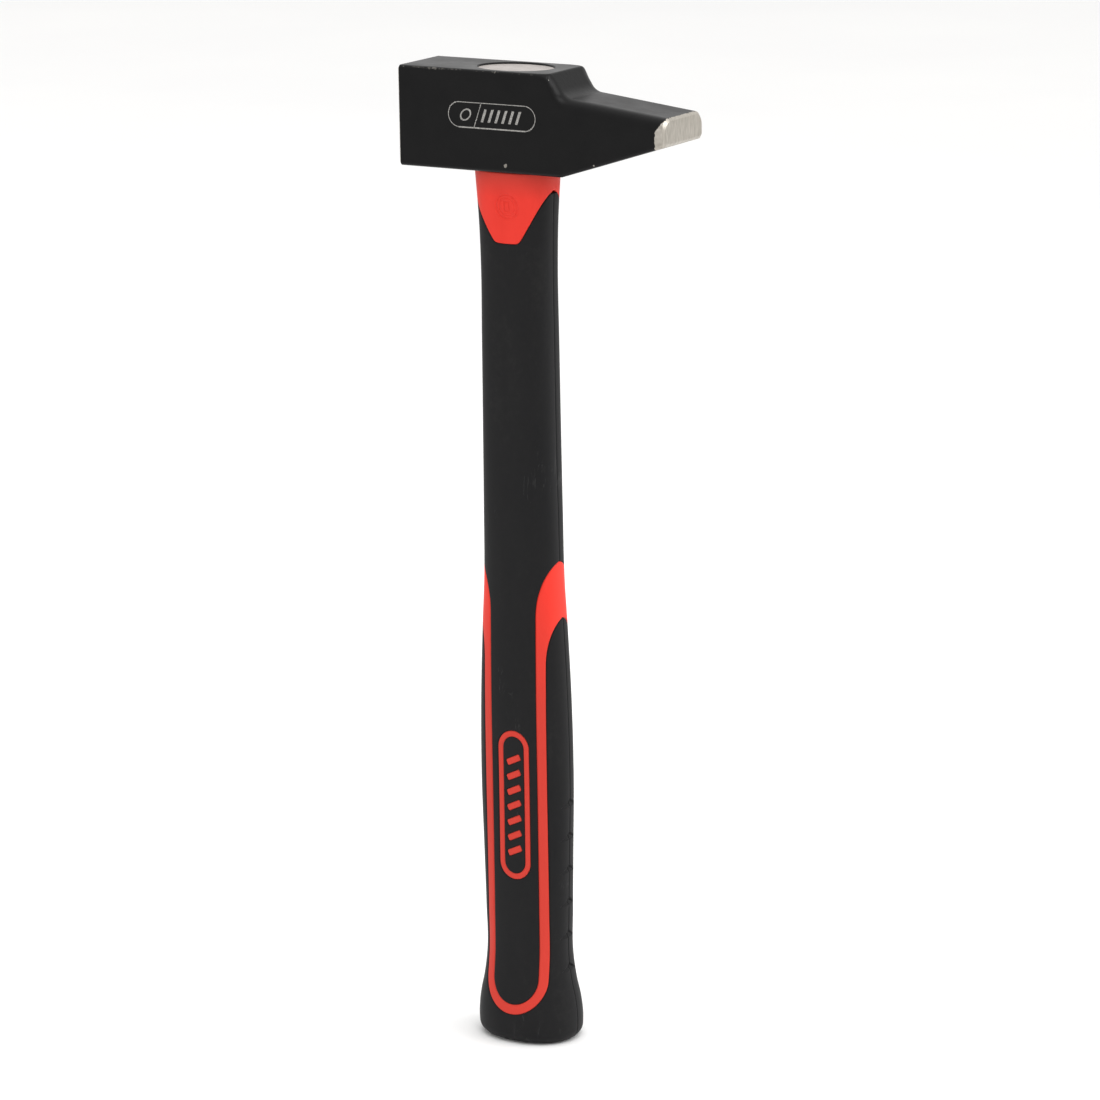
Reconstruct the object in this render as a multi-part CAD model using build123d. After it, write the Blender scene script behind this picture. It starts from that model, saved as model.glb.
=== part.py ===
"""Joiner's hammer with a square face, a cross peen and a two-component handle.

Millimetres, +Z up the handle. The origin is the middle of the flat end of the butt,
+X points the way the peen points and the striking face looks along -X. The handle is the
same left and right, and the same front and back.
"""
from build123d import *
from math import cos, sin, pi, copysign
import os

# ---- driving dimensions ---------------------------------------------------------------
TOTAL_LENGTH = 325.0      # butt to top of head

HEAD_WIDTH = 25.0         # the size that this kind of hammer is sold by
HEAD_HEIGHT = 32.5
FACE_REACH = 37.0         # handle axis to striking face
PEEN_REACH = 61.0         # handle axis to tip of peen
FACE_CHAMFER = 0.8
TOP_EDGE_RADIUS = 2.2     # long edges of the head, upper side
LOW_EDGE_RADIUS = 1.2     # long edges of the head, under side
TIP_CHAMFER = 0.9

SHOULDER_START = 18.1     # where the flat top ends and the shoulder falls away
SHOULDER_RUN = 4.8        # shoulder slope, along X
SHOULDER_DROP = 7.4       # shoulder slope, down
SHOULDER_HOLLOW = 6.0     # radius of the hollow between shoulder and peen
TAPER_START = 23.2        # where the under side starts to rise
TIP_LOW = 12.0            # under side of the tip, above the bottom of the head
TIP_HIGH = 20.7           # upper side of the tip, above the bottom of the head

EYE_TOP = (26.5, 19.5)    # oval eye, length and width at the top
EYE_WAIST = (23.6, 17.0)  # at mid height, where the eye is tightest
EYE_BOTTOM = (25.4, 18.4)
TENON = (22.6, 16.0)      # handle end inside the eye
TENON_LENGTH = 29.0
RESIN_DEPTH = 0.4         # resin surface, below the top of the head

GRIP_SKIN = 1.6           # thickness of the soft overmould
BUTT_FLOOR = 5.0          # soft material under the end of the jacket
BUTT_RADIUS = 4.0

CORE = (15.0, 8.0)        # glass-fibre rod, width and depth
CORE_START = 14.0
CORE_TOP_GAP = 2.0        # rod end, below the end of the tenon

COLLAR_LOW = 268.8        # lower end of the collar flaps, front and back
COLLAR_FLAT = 4.6         # half width of the straight lower end
COLLAR_EDGE = 284.0       # lower end of the collar on the two narrow edges

PANEL_HALF = 8.8          # half width of the soft front panel between the stripes
STRIPE_HALF = 12.0        # half width to the outside of the stripes
STRIPE_LOW = 22.0         # centre height of the round end of the stripes
PANEL_FLARE = (147.5, 31.0)    # height where the panel starts to widen, radius of that curve
STRIPE_FLARE = (130.0, 35.0)   # the same for the outside of the stripes
FLARE_END = 15.2               # how far out the flare curves are drawn

BADGE_CENTRE = 81.5       # stadium-shaped mark in the panel
BADGE_LENGTH = 51.0
BADGE_WIDTH = 12.0
BADGE_RING = 2.0
BAR_COUNT = 7             # plain slanted bars inside the mark
BAR_PITCH = 5.2
BAR_SIZE = (5.6, 2.2)
BAR_SLANT = 25.0

CHEVRON_COUNT = 6         # grip notches on the two narrow edges
CHEVRON_FIRST = 26.5
CHEVRON_PITCH = 11.0
CHEVRON_HALF = 4.1
CHEVRON_DROP = 2.6
CHEVRON_WIDTH = 0.9
CHEVRON_DEPTH = 0.4

# Handle stations: height, half width, half depth, squareness of the section
STATIONS = [
    (0.0, 17.7, 13.6, 2.2),
    (8.0, 18.0, 13.7, 2.2),
    (14.0, 17.4, 12.3, 2.3),
    (20.0, 16.1, 10.9, 2.4),
    (28.0, 15.0, 9.8, 2.5),
    (45.0, 15.2, 9.3, 2.5),
    (64.0, 15.7, 9.1, 2.5),
    (88.0, 16.3, 9.0, 2.5),
    (115.0, 15.9, 9.1, 2.5),
    (142.0, 14.7, 8.8, 2.5),
    (156.0, 13.8, 8.5, 2.6),
    (180.0, 13.3, 8.2, 2.8),
    (200.0, 13.0, 8.0, 3.0),
    (236.0, 12.8, 7.8, 3.0),
    (262.0, 12.7, 7.7, 3.0),
    (277.0, 13.0, 8.3, 3.0),
    (292.5, 13.9, 10.4, 2.6),
]
SECTION_POINTS = 24

# ---- derived --------------------------------------------------------------------------
HEAD_BOTTOM = TOTAL_LENGTH - HEAD_HEIGHT
TENON_TOP = HEAD_BOTTOM + TENON_LENGTH
THROUGH = 60.0            # longer than any part of the handle is deep


def section(height, half_width, half_depth, squareness, inset=0.0):
    """Closed outline across the handle: |x/a|^n + |y/b|^n = 1, as a smooth curve."""
    points = []
    for step in range(SECTION_POINTS):
        angle = 2 * pi * step / SECTION_POINTS
        across = copysign(abs(cos(angle)) ** (2 / squareness), cos(angle))
        depth = copysign(abs(sin(angle)) ** (2 / squareness), sin(angle))
        points.append(((half_width - inset) * across, (half_depth - inset) * depth, height))
    return Wire([Spline(points, periodic=True)])


def handle_body(inset=0.0):
    """The handle from butt to head, or the same body with its skin taken off."""
    return Solid.make_loft([section(*station, inset=inset) for station in STATIONS])


def oval(size, height):
    """Horizontal oval of the given length and width."""
    return Pos(0, 0, height) * Ellipse(size[0] / 2, size[1] / 2)


def through_cut(face):
    """Carry a face drawn in the XZ plane right through the handle, front to back."""
    return extrude(face, THROUGH / 2, both=True)


def on_front(sketch, height):
    """Stand a flat sketch up in the XZ plane with its centre at the given height."""
    return Pos(0, 0, height) * (Plane.XZ * sketch)


# ---- head -----------------------------------------------------------------------------
def make_head():
    """Forged head: side outline drawn in XZ, carried across the width, eye cut through."""
    slope = (SHOULDER_START + SHOULDER_RUN, TOTAL_LENGTH - SHOULDER_DROP)
    tip_top = (PEEN_REACH, HEAD_BOTTOM + TIP_HIGH)
    outline = FilletPolyline(
        (0, TOTAL_LENGTH),
        (SHOULDER_START, TOTAL_LENGTH),
        slope,
        tip_top,
        radius=[0.6, SHOULDER_HOLLOW],
    )
    rest = Polyline(
        tip_top,
        (PEEN_REACH, HEAD_BOTTOM + TIP_LOW),
        (TAPER_START, HEAD_BOTTOM),
        (-FACE_REACH, HEAD_BOTTOM),
        (-FACE_REACH, TOTAL_LENGTH),
        (0, TOTAL_LENGTH),
    )
    side = Plane.XZ * make_face(outline.edges() + rest.edges())
    body = extrude(side, HEAD_WIDTH / 2, both=True)

    flat_sides = [f for f in body.faces() if abs(abs(f.center().Y) - HEAD_WIDTH / 2) < 0.01]
    long_edges = [e for f in flat_sides for e in f.edges()]
    across_ends = [e for e in long_edges if abs(e.center().X + FACE_REACH) < 0.01
                   or abs(e.center().X - PEEN_REACH) < 0.01]
    long_edges = [e for e in long_edges if e not in across_ends]
    lower = [e for e in long_edges if e.center().Z < HEAD_BOTTOM + TIP_LOW]
    upper = [e for e in long_edges if e not in lower]
    body = fillet(upper, TOP_EDGE_RADIUS)
    lower = [e for e in body.edges() if abs(abs(e.center().Y) - HEAD_WIDTH / 2) < 0.01
             and e.center().Z < HEAD_BOTTOM + TIP_LOW and e.length > HEAD_WIDTH]
    body = fillet(lower, LOW_EDGE_RADIUS)
    face = body.faces().sort_by(Axis.X)[0]
    body = chamfer(face.edges(), FACE_CHAMFER)
    tip = body.faces().sort_by(Axis.X)[-1]
    body = chamfer(tip.edges(), TIP_CHAMFER)
    return body - eye_space(TOTAL_LENGTH)


def eye_space(top):
    """The eye of the head as a solid: two oval cones that meet at the waist."""
    middle = (HEAD_BOTTOM + TOTAL_LENGTH) / 2
    low = loft([oval(EYE_BOTTOM, HEAD_BOTTOM), oval(EYE_WAIST, middle)], ruled=True)
    high = loft([oval(EYE_WAIST, middle), oval(EYE_TOP, TOTAL_LENGTH)], ruled=True)
    space = low + high
    if top < TOTAL_LENGTH:
        space = split(space, Plane.XY.offset(top), keep=Keep.BOTTOM)
    return space


# ---- handle outlines, all drawn in XZ -------------------------------------------------
def flare(half_width, start, radius):
    """Right-hand edge of a stripe: straight up, then an arc that curves out to the edge."""
    reach = FLARE_END - half_width
    rise = (radius ** 2 - (radius - reach) ** 2) ** 0.5
    turn = reach / radius
    mid_out = radius * (1 - cos(turn))
    mid_up = radius * sin(turn)
    return (
        (half_width, start),
        (half_width + mid_out, start + mid_up),
        (FLARE_END, start + rise),
    )


def tongue(half_width, flare_curve, top):
    """Face bounded below by a round end and at the sides by the two flare curves."""
    low, mid, high = flare(half_width, *flare_curve)
    edges = [
        ThreePointArc((-half_width, STRIPE_LOW), (0, STRIPE_LOW - half_width),
                      (half_width, STRIPE_LOW)),
        Line((half_width, STRIPE_LOW), low),
        ThreePointArc(low, mid, high),
        Polyline(high, (THROUGH / 2, high[1]), (THROUGH / 2, top),
                 (-THROUGH / 2, top), (-THROUGH / 2, high[1]), (-high[0], high[1])),
        ThreePointArc((-high[0], high[1]), (-mid[0], mid[1]), (-low[0], low[1])),
        Line((-low[0], low[1]), (-half_width, STRIPE_LOW)),
    ]
    return Plane.XZ * make_face([e for part in edges for e in part.edges()])


def collar_space():
    """Region above the lower edge of the collar: a flap front and back, short at the edges."""
    bend = (10.0, 276.6)
    edge = (FLARE_END, COLLAR_EDGE + 2.6)
    right = ThreePointArc((COLLAR_FLAT, COLLAR_LOW), bend, edge)
    left = ThreePointArc((-edge[0], edge[1]), (-bend[0], bend[1]), (-COLLAR_FLAT, COLLAR_LOW))
    over = Polyline(edge, (edge[0] + THROUGH, edge[1]), (edge[0] + THROUGH, TOTAL_LENGTH),
                    (-edge[0] - THROUGH, TOTAL_LENGTH), (-edge[0] - THROUGH, edge[1]),
                    (-edge[0], edge[1]))
    flat = Line((-COLLAR_FLAT, COLLAR_LOW), (COLLAR_FLAT, COLLAR_LOW))
    edges = [e for part in (flat, right, over, left) for e in part.edges()]
    face = Plane.XZ * make_face(edges)
    edge_cap = Pos(0, 0, COLLAR_EDGE + THROUGH / 2) * Box(THROUGH, THROUGH, THROUGH)
    return through_cut(face) + edge_cap


def badge_outlines():
    """Outside and inside of the stadium-shaped ring, as flat sketches."""
    outer = SlotOverall(BADGE_LENGTH, BADGE_WIDTH, rotation=90)
    inner = SlotOverall(BADGE_LENGTH - 2 * BADGE_RING, BADGE_WIDTH - 2 * BADGE_RING, rotation=90)
    return outer, inner


def badge_bars():
    """Row of plain slanted bars inside the ring."""
    bar = RectangleRounded(BAR_SIZE[0], BAR_SIZE[1], BAR_SIZE[1] / 3, rotation=BAR_SLANT)
    first = -BAR_PITCH * (BAR_COUNT - 1) / 2
    return [Pos(0, first + BAR_PITCH * index) * bar for index in range(BAR_COUNT)]


# ---- small features -------------------------------------------------------------------
def chevron_grooves():
    """Notches shaped like an upturned V that wrap the two narrow edges of the grip."""
    half, drop, width = CHEVRON_HALF, CHEVRON_DROP, CHEVRON_WIDTH
    shape = Plane.YZ * make_face(Polyline(
        (0, width), (half, width - drop), (half, -drop), (0, 0),
        (-half, -drop), (-half, width - drop), (0, width)).edges())
    band = extrude(shape, THROUGH / 2, both=True)
    return [Pos(0, 0, CHEVRON_FIRST + CHEVRON_PITCH * index) * band
            for index in range(CHEVRON_COUNT)]


# ---- build ----------------------------------------------------------------------------
def main():
    outer = handle_body()
    outer = fillet(outer.edges().sort_by(Axis.Z)[0], BUTT_RADIUS)
    inner = split(handle_body(inset=GRIP_SKIN), Plane.XY.offset(BUTT_FLOOR), keep=Keep.TOP)
    skin = outer - inner

    # Overmoulded soft skin, cut into its separate regions
    collar = collar_space()
    panel = through_cut(tongue(PANEL_HALF, PANEL_FLARE, TOTAL_LENGTH))
    stripes = through_cut(tongue(STRIPE_HALF, STRIPE_FLARE, TOTAL_LENGTH))
    ring, window = badge_outlines()
    shaft_sleeve = (skin & panel) - collar - through_cut(on_front(ring, BADGE_CENTRE))
    lower_grip = skin - stripes - collar
    infill = skin & through_cut(on_front(window, BADGE_CENTRE))
    for bar in badge_bars():
        infill -= through_cut(on_front(bar, BADGE_CENTRE))
    front_infill, back_infill = infill.solids().sort_by(Axis.Y)

    # Hard jacket: whatever the soft skin leaves of the handle, and the end inside the eye
    tenon = extrude(oval(TENON, HEAD_BOTTOM), TENON_LENGTH)
    core_length = TENON_TOP - CORE_TOP_GAP - CORE_START
    core = extrude(oval(CORE, CORE_START), core_length)
    jacket = outer - shaft_sleeve - lower_grip - front_infill - back_infill + tenon - core

    grooves = chevron_grooves()
    shallow = outer - handle_body(inset=CHEVRON_DEPTH)
    lower_grip -= [shallow & groove for groove in grooves]

    # Head, and the resin that fills the space between the eye and the end of the handle
    head = make_head()
    resin = eye_space(TOTAL_LENGTH - RESIN_DEPTH) - tenon

    pieces = {
        "head": head,
        "eye_resin": resin,
        "fibreglass_core": core,
        "handle_jacket": jacket,
        "shaft_sleeve": shaft_sleeve,
        "lower_grip": lower_grip,
        "front_badge_infill": front_infill,
        "back_badge_infill": back_infill,
    }
    os.makedirs("parts", exist_ok=True)
    for name, piece in pieces.items():
        export_step(piece, os.path.join("parts", name + ".step"))
        print(name, len(piece.solids()), "solid(s)", round(piece.volume), "mm3")


main()
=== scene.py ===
import math

import bpy
import numpy as np
from mathutils import Matrix


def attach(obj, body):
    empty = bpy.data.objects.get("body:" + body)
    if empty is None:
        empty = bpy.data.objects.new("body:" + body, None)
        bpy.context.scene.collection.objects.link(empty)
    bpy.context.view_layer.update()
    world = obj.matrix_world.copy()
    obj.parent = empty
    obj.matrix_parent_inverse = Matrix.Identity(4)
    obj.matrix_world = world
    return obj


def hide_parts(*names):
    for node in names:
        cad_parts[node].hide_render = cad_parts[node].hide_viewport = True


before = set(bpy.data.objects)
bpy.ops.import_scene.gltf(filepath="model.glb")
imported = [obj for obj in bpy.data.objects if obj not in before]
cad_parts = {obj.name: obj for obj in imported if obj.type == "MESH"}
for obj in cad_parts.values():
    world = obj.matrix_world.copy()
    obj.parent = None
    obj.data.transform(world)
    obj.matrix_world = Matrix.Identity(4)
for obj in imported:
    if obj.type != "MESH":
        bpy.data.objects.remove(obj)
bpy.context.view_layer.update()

# Joiner's hammer, put together from the inside of the handle outwards and then the head.
# Lengths are in millimetres until a mesh is made. Z runs up the handle from the butt, X towards
# the peen, Y towards the back.


# ---- Glass-fibre core -------------------------------------------------------------------
# A pultruded rod of glass fibre in clear resin that carries the load from head to butt.
# The handle is moulded round it, so nothing of it shows, and its shape is the CAD one.
core_material = bpy.data.materials.new("pultruded_glass_fibre")


def shader_of(material):
    """Place on the object, as a texture coordinate, and two functions that build a material:
    add makes a node, and coat fills in the material's own shader. Both take inputs by name,
    with _ for a space, or as i0, i1 and so on by number; an output given as a value is
    linked."""
    material.use_nodes = True
    tree = material.node_tree

    def fill(node, inputs):
        for name, value in inputs.items():
            by_number = name[0] == "i" and name[1:].isdigit()
            socket = node.inputs[int(name[1:]) if by_number else name.replace("_", " ")]
            if isinstance(value, bpy.types.NodeSocket):
                tree.links.new(value, socket)
            else:
                socket.default_value = value
        return node

    def add(kind, settings=None, **inputs):
        node = tree.nodes.new(kind)
        for name, value in (settings or {}).items():
            setattr(node, name, value)
        return fill(node, inputs)

    def coat(**inputs):
        fill(tree.nodes["Principled BSDF"], inputs)

    return add("ShaderNodeTexCoord").outputs["Object"], add, coat


def colour_steps(node, steps):
    """Gives a colour ramp its stops: a list of (position, colour)."""
    ramp = node.color_ramp
    while len(ramp.elements) < len(steps):
        ramp.elements.new(0.5)
    for stop, (position, colour) in zip(ramp.elements, steps):
        stop.position = position
        stop.color = (*colour, 1)


place, add, coat = shader_of(core_material)
strands = add("ShaderNodeMapping", Vector=place, Scale=(2600, 2600, 30))
fibres = add("ShaderNodeTexNoise", Vector=strands.outputs[0], Scale=1.0, Detail=3.0)
tint = add("ShaderNodeValToRGB", Fac=fibres.outputs["Fac"])
colour_steps(tint, [(0.35, (0.52, 0.50, 0.34)), (0.7, (0.72, 0.70, 0.50))])
relief = add("ShaderNodeBump", Strength=0.4, Distance=0.00005, Height=fibres.outputs["Fac"])
coat(Base_Color=tint.outputs[0], Roughness=0.35, Normal=relief.outputs[0])

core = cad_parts["fibreglass_core"]
core.data.materials.clear()
core.data.materials.append(core_material)


# ---- Handle jacket ----------------------------------------------------------------------
# Hard red polypropylene, moulded round the core. It shows as the collar under the head, the
# stripes, the badge ring and its bars; everywhere else it lies a skin's depth lower.
STATIONS = np.array([
    # height, half width, half depth, squareness of the section
    (0.0, 17.7, 13.6, 2.2),
    (8.0, 18.0, 13.7, 2.2),
    (14.0, 17.4, 12.3, 2.3),
    (20.0, 16.1, 10.9, 2.4),
    (28.0, 15.0, 9.8, 2.5),
    (45.0, 15.2, 9.3, 2.5),
    (64.0, 15.7, 9.1, 2.5),
    (88.0, 16.3, 9.0, 2.5),
    (115.0, 15.9, 9.1, 2.5),
    (142.0, 14.7, 8.8, 2.5),
    (156.0, 13.8, 8.5, 2.6),
    (180.0, 13.3, 8.2, 2.8),
    (200.0, 13.0, 8.0, 3.0),
    (236.0, 12.8, 7.8, 3.0),
    (262.0, 12.7, 7.7, 3.0),
    (277.0, 13.0, 8.3, 3.0),
    (292.5, 13.9, 10.4, 2.6),
])
HEAD_BOTTOM = 292.5
BUTT_RADIUS = 4.0
BUTT_FLOOR = 5.0
SKIN = 1.6
TENON = (11.3, 8.0)       # half sizes of the handle's end in the eye
TENON_TOP = 321.5
FIT_GAP = 0.03            # between the jacket and the skin moulded on it
EDGE_REACH = 1.0          # how much further out the narrow edges count for the outlines
METRES = 0.001
TINY = 1e-9               # keeps a closed end from dividing by zero
ELLIPSE = 2.0             # squareness of a plain oval

# The outlines of the regions, seen from the front: a stripe is what lies between the panel's
# and the stripe's own edge. A flare is the height where it starts and its radius.
PANEL_HALF = 8.8
STRIPE_HALF = 12.0
STRIPE_LOW = 22.0
PANEL_FLARE = (146.0, 31.0)
STRIPE_FLARE = (130.0, 35.0)
COLLAR_LOW = 268.8
COLLAR_FLAT = 4.6
COLLAR_SLOPE = 1.50
COLLAR_CURVE = 0.025
COLLAR_CORNER = 0.8

BADGE_CENTRE = 81.5
BADGE_LENGTH = 51.0
BADGE_HALF = 6.0
BADGE_RING = 2.0
BAR_COUNT = 7
BAR_PITCH = 5.2
BAR_HALF = (2.8, 1.1)
BAR_CORNER = 0.5
BAR_SLANT = math.radians(25)
EMBLEM_HEIGHT = 281.2
EMBLEM_SHIFT = 0.9        # towards the peen on the front, away from it on the back
EMBLEM_RINGS = ((4.0, 0.26, 0.30), (2.88, 0.20, 0.24))    # radius, depth and groove width
EMBLEM_BLOCK = (1.55, 0.24, 0.26)                         # half height, depth, groove width
EMBLEM_SLENDER = 1.7      # height of the block over its width


def along(height, column):
    """Smooth curve through the stations: a cubic between each two, with the slope at a
    station taken from its neighbours on both sides."""
    knots, values = STATIONS[:, 0], STATIONS[:, column]
    slopes = np.gradient(values, knots)
    height = np.clip(height, knots[0], knots[-1])
    at = np.clip(np.searchsorted(knots, height) - 1, 0, len(knots) - 2)
    step = knots[at + 1] - knots[at]
    t = (height - knots[at]) / step
    return ((2 * t ** 3 - 3 * t ** 2 + 1) * values[at]
            + (t ** 3 - 2 * t ** 2 + t) * step * slopes[at]
            + (3 * t ** 2 - 2 * t ** 3) * values[at + 1]
            + (t ** 3 - t ** 2) * step * slopes[at + 1])


def section_point(angle, half_width, half_depth, squareness):
    """Point of the section |x/a|^n + |y/b|^n = 1 in the direction of the angle."""
    c, s = np.cos(angle), np.sin(angle)
    reach = (np.abs(c / half_width) ** squareness
             + np.abs(s / half_depth) ** squareness) ** (-1 / squareness)
    return reach * c, reach * s


def handle_outside(angle, path, lift):
    """Outer surface of the handle. The path runs from -1 at the middle of the butt's end to 0
    at the start of its rounded rim, a quarter circle up to BUTT_RADIUS, and from there it is
    the height. Lift grows the section's two half sizes."""
    rise = np.clip(path, 0, BUTT_RADIUS) / BUTT_RADIUS * (math.pi / 2)
    rounded = path < BUTT_RADIUS
    height = np.where(rounded, BUTT_RADIUS * (1 - np.cos(rise)), path)
    draw_in = np.where(rounded, BUTT_RADIUS * (1 - np.sin(rise)), 0.0)
    shrink = np.where(path < 0, np.clip(path + 1, 0, 1), 1.0)
    side_lift = np.where(rounded, lift * np.sin(rise), lift)
    half_width = (along(height, 1) - draw_in + side_lift) * shrink + TINY
    half_depth = (along(height, 2) - draw_in + side_lift) * shrink + TINY
    x, y = section_point(angle, half_width, half_depth, along(height, 3))
    return np.stack([x, y, height - np.where(rounded, lift * np.cos(rise), 0.0)], -1)


def handle_inside(angle, path):
    """The face that the soft skin and the jacket share, a skin's depth under the outside and
    closed by a flat floor above the butt."""
    height = np.maximum(np.where(path < BUTT_RADIUS, 0.0, path), BUTT_FLOOR)
    shrink = np.clip((path + 1) / (1 + BUTT_FLOOR), 0, 1)
    half_width = (along(height, 1) - SKIN) * shrink + TINY
    half_depth = (along(height, 2) - SKIN) * shrink + TINY
    x, y = section_point(angle, half_width, half_depth, along(height, 3))
    return np.stack([x, y, height], -1)


def tongue_distance(x, height, half, flare):
    """Distance outside a tongue with a round lower end, straight sides and flared top."""
    start, radius = flare
    x = np.abs(x)
    low = np.hypot(x, height - STRIPE_LOW) - half
    side = x - half
    top = radius - np.hypot(x - half - radius, height - start)
    return np.where(height < STRIPE_LOW, low, np.where(height < start, side, top))


def collar_distance(x, height):
    """Distance above the collar's lower edge: flat in the middle, then sloping up."""
    out = np.abs(x) - COLLAR_FLAT
    soft = 0.5 * (out + np.sqrt(out ** 2 + COLLAR_CORNER ** 2))
    edge = COLLAR_LOW + COLLAR_SLOPE * soft + COLLAR_CURVE * soft ** 2
    return (height - edge) / math.hypot(1, COLLAR_SLOPE * 0.5)


def stadium_distance(x, height, length, half):
    """Distance outside an upright stadium at the badge."""
    up = np.maximum(np.abs(height - BADGE_CENTRE) - (length / 2 - half), 0)
    return np.hypot(x, up) - half


def bars_distance(x, height):
    """Distance outside the nearest of the plain slanted bars, which have round corners."""
    nearest = np.full(np.shape(x), np.inf)
    for index in range(BAR_COUNT):
        up = height - BADGE_CENTRE - (index - (BAR_COUNT - 1) / 2) * BAR_PITCH
        run = x * math.cos(BAR_SLANT) + up * math.sin(BAR_SLANT)
        rise = up * math.cos(BAR_SLANT) - x * math.sin(BAR_SLANT)
        over_x = np.abs(run) - BAR_HALF[0] + BAR_CORNER
        over_y = np.abs(rise) - BAR_HALF[1] + BAR_CORNER
        outside = np.hypot(np.maximum(over_x, 0), np.maximum(over_y, 0))
        inside = np.minimum(np.maximum(over_x, over_y), 0)
        nearest = np.minimum(nearest, outside + inside - BAR_CORNER)
    return nearest


def sleeve_region(x, height):
    """Positive on the shaft sleeve and its panel: inside the stripes, under the collar and
    outside the badge ring."""
    return np.minimum.reduce([
        -tongue_distance(x, height, PANEL_HALF, PANEL_FLARE),
        -collar_distance(x, height),
        stadium_distance(x, height, BADGE_LENGTH, BADGE_HALF),
    ])


def lower_grip_region(x, height):
    """Positive on the lower grip: outside the stripes and below the bare jacket."""
    return tongue_distance(x, height, STRIPE_HALF, STRIPE_FLARE)


def infill_region(x, height):
    """Positive on the islands inside the badge ring, clear of the bars."""
    window = stadium_distance(x, height, BADGE_LENGTH - 2 * BADGE_RING, BADGE_HALF - BADGE_RING)
    return np.minimum(-window, bars_distance(x, height))


def jacket_region(x, height):
    """Positive where the hard jacket shows."""
    return -np.maximum.reduce([sleeve_region(x, height), lower_grip_region(x, height),
                               infill_region(x, height)])


PROBE = 0.05              # steps for measuring a slope and a normal
NORMAL_PROBE = 0.02
USUAL_REACH = 12.0        # from the handle's axis; turns a step in millimetres into an angle
SLOPE_LIMITS = (0.25, 4.0)


def on_surface(region, angle, path):
    """A region's value over its slope along the handle's surface, which is close to the real
    distance from the region's edge, in millimetres."""
    def value(a, p):
        spot = handle_outside(a, p, 0.0)
        turned_in = np.clip(1 - np.abs(spot[..., 1]) / along(p, 2), 0, 1)
        x = spot[..., 0] + np.sign(spot[..., 0]) * EDGE_REACH * turned_in ** 1.5
        return region(x, np.where(p < BUTT_RADIUS, spot[..., 2], p)), spot

    here, spot = value(angle, path)
    turned, spot_a = value(angle + PROBE / USUAL_REACH, path)
    raised, spot_p = value(angle, path + PROBE)
    length_a = np.linalg.norm(spot_a - spot, axis=-1) + TINY
    length_p = np.linalg.norm(spot_p - spot, axis=-1) + TINY
    slope = np.hypot((turned - here) / length_a, (raised - here) / length_p)
    return here / np.clip(slope, *SLOPE_LIMITS)


def grid(angles, path):
    """Triangles over a grid of two parameters: (angle, path) of each corner, and its faces,
    wound so that they look outwards."""
    a, p = np.meshgrid(angles, path, indexing="ij")
    number = np.arange(a.size).reshape(a.shape)
    squares = np.stack([number[:-1, :-1], number[1:, :-1], number[1:, 1:], number[:-1, 1:]], -1)
    squares = squares.reshape(-1, 4)
    faces = np.concatenate([squares[:, [0, 1, 2]], squares[:, [0, 2, 3]]])
    return np.stack([a.ravel(), p.ravel()], 1), faces


CUT_STEPS = 3
CUT_SHARES = (0.02, 0.98)     # of an edge, between which it may be cut


def split_at(spots, faces, distance, level):
    """Cuts every triangle that the line distance = level crosses, so that the line becomes
    edges. The crossing on an edge is found by false position."""
    value = distance(spots[:, 0], spots[:, 1]) - level
    up = value[faces] > 0
    crossed = up.any(1) & ~up.all(1)
    rest, cut = faces[~crossed], faces[crossed]
    if not len(cut):
        return spots, faces
    up = up[crossed]
    alone = np.where(up.sum(1) == 1, up.argmax(1), (~up).argmax(1))
    turn = (alone[:, None] + np.arange(3)) % 3
    cut = np.take_along_axis(cut, turn, 1)
    pairs = np.sort(np.concatenate([cut[:, [0, 1]], cut[:, [0, 2]]]), axis=1)
    edges, back = np.unique(pairs, axis=0, return_inverse=True)
    back = back.ravel()
    start, end = spots[edges[:, 0]], spots[edges[:, 1]]
    low, high = np.zeros(len(edges)), np.ones(len(edges))
    f_low, f_high = value[edges[:, 0]], value[edges[:, 1]]
    for _ in range(CUT_STEPS):
        share = low + (high - low) * np.clip(f_low / (f_low - f_high + 1e-30), 0.0, 1.0)
        middle = start + (end - start) * share[:, None]
        f_mid = distance(middle[:, 0], middle[:, 1]) - level
        same = (f_mid > 0) == (f_low > 0)
        low, f_low = np.where(same, share, low), np.where(same, f_mid, f_low)
        high, f_high = np.where(same, high, share), np.where(same, f_high, f_mid)
    middle = start + (end - start) * np.clip(share, *CUT_SHARES)[:, None]
    new = len(spots) + back
    ab, ac = new[:len(cut)], new[len(cut):]
    a, b, c = cut.T
    faces = np.concatenate([rest, np.stack([a, ab, ac], 1), np.stack([ab, b, c], 1),
                            np.stack([ab, c, ac], 1)])
    return np.concatenate([spots, middle]), faces


def rim_edges(faces):
    """Directed edges that only one of the faces uses."""
    directed = faces[:, [0, 1, 1, 2, 2, 0]].reshape(-1, 2)
    key = np.sort(directed, axis=1)
    _, back, count = np.unique(key, axis=0, return_inverse=True, return_counts=True)
    return directed[count[back.ravel()] == 1]


def wall_between(rim, count):
    """Two triangles on each rim edge, from its outer points to the inner ones, whose numbers
    are higher by count."""
    start, end = rim.T
    return np.concatenate([np.stack([end, start, start + count], 1),
                           np.stack([end, start + count, end + count], 1)])


WELD_SIZE = 2e-5


def weld(points, faces):
    """Merges points that coincide, leaves out those that no face uses, and drops the faces
    that this closes up. Also gives each kept point's old number and which faces stayed."""
    used = np.unique(faces)
    key = np.round(points[used] / WELD_SIZE).astype(np.int64)
    _, first, back = np.unique(key, axis=0, return_index=True, return_inverse=True)
    number = np.zeros(len(points), dtype=np.int64)
    number[used] = back.ravel()
    faces = number[faces]
    whole = ((faces[:, 0] != faces[:, 1]) & (faces[:, 1] != faces[:, 2])
             & (faces[:, 2] != faces[:, 0]))
    kept = used[first]
    return points[kept], faces[whole], kept, whole


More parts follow.
